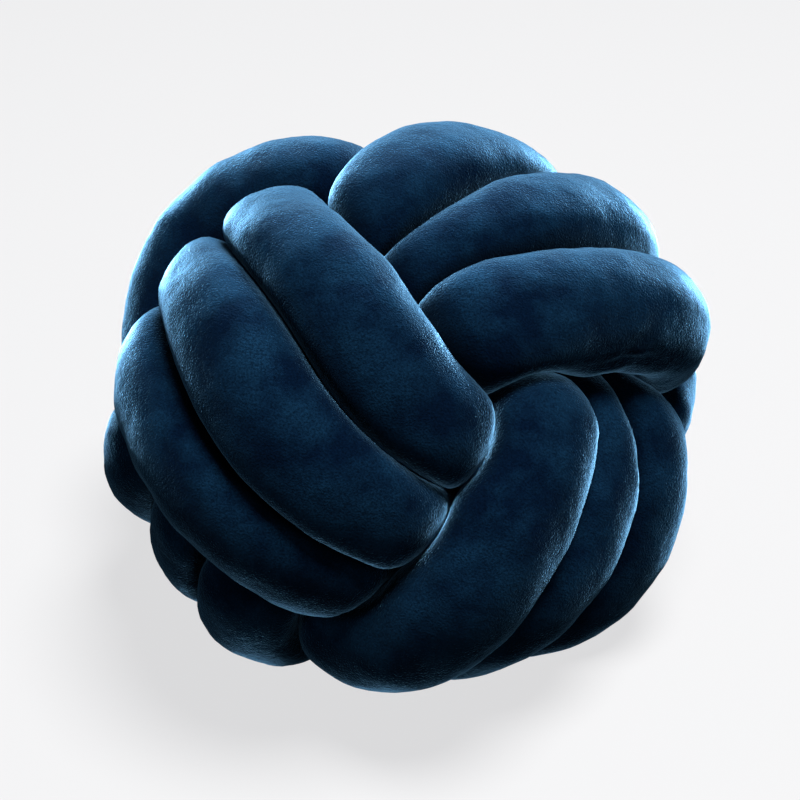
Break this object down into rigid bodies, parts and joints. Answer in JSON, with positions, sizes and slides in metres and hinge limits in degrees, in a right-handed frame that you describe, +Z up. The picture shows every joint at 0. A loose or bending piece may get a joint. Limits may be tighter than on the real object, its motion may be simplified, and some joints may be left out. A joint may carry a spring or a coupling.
{
  "type": "knot cushion",
  "caption": "Round knot cushion: a filled plush tube tied into a ball of interlaced bands at right angles, each band of side-by-side turns over one neighbour and under the other.",
  "frame": {"origin": "on the surface that the cushion rests on, at the middle of the footprint of its bounding box", "axes": "+Z up, -Y towards the viewer of the picture, +X to that viewer's right"},
  "size_m": [0.298, 0.3012, 0.2242],
  "materials": {
    "plush": "short dense plush, dark peacock blue, with a soft sheen along the pile"
  },
  "bodies": {
    "root": {"knotted_tube": "plush"}
  },
  "joints": []
}
